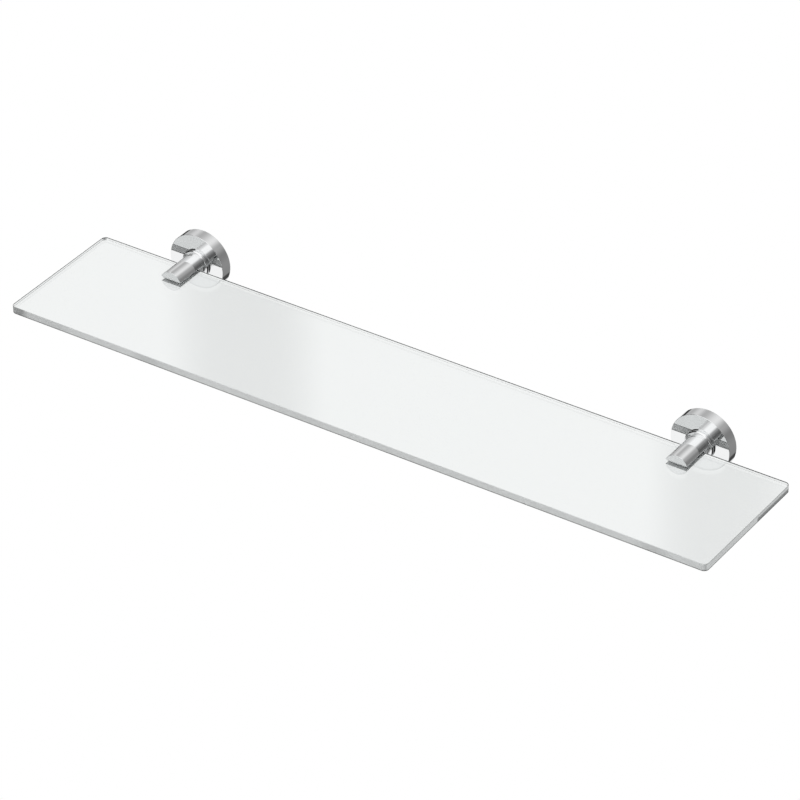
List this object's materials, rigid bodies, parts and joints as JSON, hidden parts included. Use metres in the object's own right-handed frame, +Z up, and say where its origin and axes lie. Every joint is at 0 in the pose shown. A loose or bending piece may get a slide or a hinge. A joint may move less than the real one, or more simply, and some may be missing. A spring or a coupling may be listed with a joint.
{
  "type": "wall shelf",
  "caption": "Clear glass wall shelf gripped along its rear edge by slotted round posts that stand out of disc-shaped wall rosettes.",
  "frame": {"origin": "on the wall plane, midway between the two brackets, at the height of the posts' axis and of the centre of the wall-screw pattern", "axes": "+Y into the wall (the room is on the -Y side), +X along the shelf, +Z up"},
  "size_m": [0.6, 0.136, 0.0486],
  "materials": {
    "shelf_glass": "polished clear",
    "chrome": "bright polished",
    "zinc_plate": "zinc-plated, satin",
    "screw_steel": "satin",
    "clear_pad": "milky, soft",
    "nylon": "matt white"
  },
  "bodies": {
    "wall_brackets": {"left_wall_plate": "zinc_plate", "left_rosette_cover": "chrome", "left_collar_ring": "chrome", "left_post": "chrome", "left_post_screw": "screw_steel", "left_post_washer": "screw_steel", "left_slot_pad": "clear_pad", "right_wall_plate": "zinc_plate", "right_rosette_cover": "chrome", "right_collar_ring": "chrome", "right_post": "chrome", "right_post_screw": "screw_steel", "right_post_washer": "screw_steel", "right_slot_pad": "clear_pad"},
    "glass": {"glass_shelf": "shelf_glass"},
    "left_pad": {"left_clamp_pad": "nylon"},
    "left_clamp": {"left_clamp_screw": "screw_steel"},
    "left_lock": {"left_lock_screw": "screw_steel"},
    "right_pad": {"right_clamp_pad": "nylon"},
    "right_clamp": {"right_clamp_screw": "screw_steel"},
    "right_lock": {"right_lock_screw": "screw_steel"}
  },
  "joints": [
    {"name": "glass_slide", "type": "slide", "parent": "wall_brackets", "child": "glass", "axis": [0, -1, 0], "range_m": [0, 0.025]},
    {"name": "left_pad_travel", "type": "slide", "parent": "wall_brackets", "child": "left_pad", "axis": [0, 0, 1], "range_m": [-0.0012, 0]},
    {"name": "left_clamp_turn", "type": "hinge", "parent": "left_pad", "child": "left_clamp", "pos_m": [-0.2205, -0.0313, -0.007], "axis": [0, 0, 1], "range_deg": [-540, 0]},
    {"name": "left_lock_turn", "type": "hinge", "parent": "wall_brackets", "child": "left_lock", "pos_m": [-0.2205, -0.00325, -0.0224], "axis": [0, 0, 1], "range_deg": [-360, 0]},
    {"name": "right_pad_travel", "type": "slide", "parent": "wall_brackets", "child": "right_pad", "axis": [0, 0, 1], "range_m": [-0.0012, 0]},
    {"name": "right_clamp_turn", "type": "hinge", "parent": "right_pad", "child": "right_clamp", "pos_m": [0.2205, -0.0313, -0.007], "axis": [0, 0, 1], "range_deg": [-540, 0]},
    {"name": "right_lock_turn", "type": "hinge", "parent": "wall_brackets", "child": "right_lock", "pos_m": [0.2205, -0.00325, -0.0224], "axis": [0, 0, 1], "range_deg": [-360, 0]}
  ],
  "couplings": [
    {"joint": "left_pad_travel", "follows": "left_clamp_turn", "m_per_rad": 0.00012732},
    {"joint": "right_pad_travel", "follows": "right_clamp_turn", "m_per_rad": 0.00012732}
  ]
}
